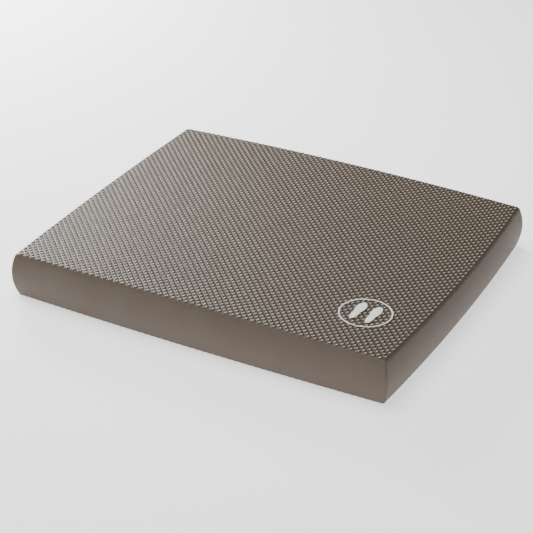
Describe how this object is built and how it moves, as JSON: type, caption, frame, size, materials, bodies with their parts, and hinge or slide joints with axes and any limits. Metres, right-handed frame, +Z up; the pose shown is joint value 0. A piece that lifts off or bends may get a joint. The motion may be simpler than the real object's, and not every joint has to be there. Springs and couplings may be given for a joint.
{
  "type": "balance pad",
  "caption": "Low rectangular closed-cell foam balance pad with a studded top skin, bulging side walls and a small printed mark near one corner; it gives underfoot.",
  "frame": {"origin": "middle of the underside, on the floor", "axes": "+X along the length towards the printed end, +Y along the depth away from the printed edge, +Z up through the studded top"},
  "size_m": [0.5, 0.41, 0.06],
  "materials": {
    "foam": "fine closed cells, matte",
    "tread_skin": "moulded foam skin covered in small round studs, matte",
    "grip_skin": "moulded foam skin with a fine grip texture, matte",
    "wall_skin": "smooth moulded foam skin, matte",
    "ink": "flexible screen-printed ink, matte"
  },
  "bodies": {
    "foam_block": {"foam_core": "foam", "bottom_skin": "grip_skin", "side_skin_front": "wall_skin", "side_skin_right": "wall_skin", "side_skin_back": "wall_skin", "side_skin_left": "wall_skin"},
    "standing_surface": {"top_skin": "tread_skin", "printed_ring": "ink", "printed_left_sole": "ink", "printed_right_sole": "ink"}
  },
  "joints": [
    {"name": "foam_compression", "type": "slide", "parent": "foam_block", "child": "standing_surface", "axis": [0, 0, -1], "range_m": [0, 0.025], "stiffness_N_per_m": 40000, "deforming": ["foam_core", "side_skin_front", "side_skin_right", "side_skin_back", "side_skin_left"]}
  ]
}
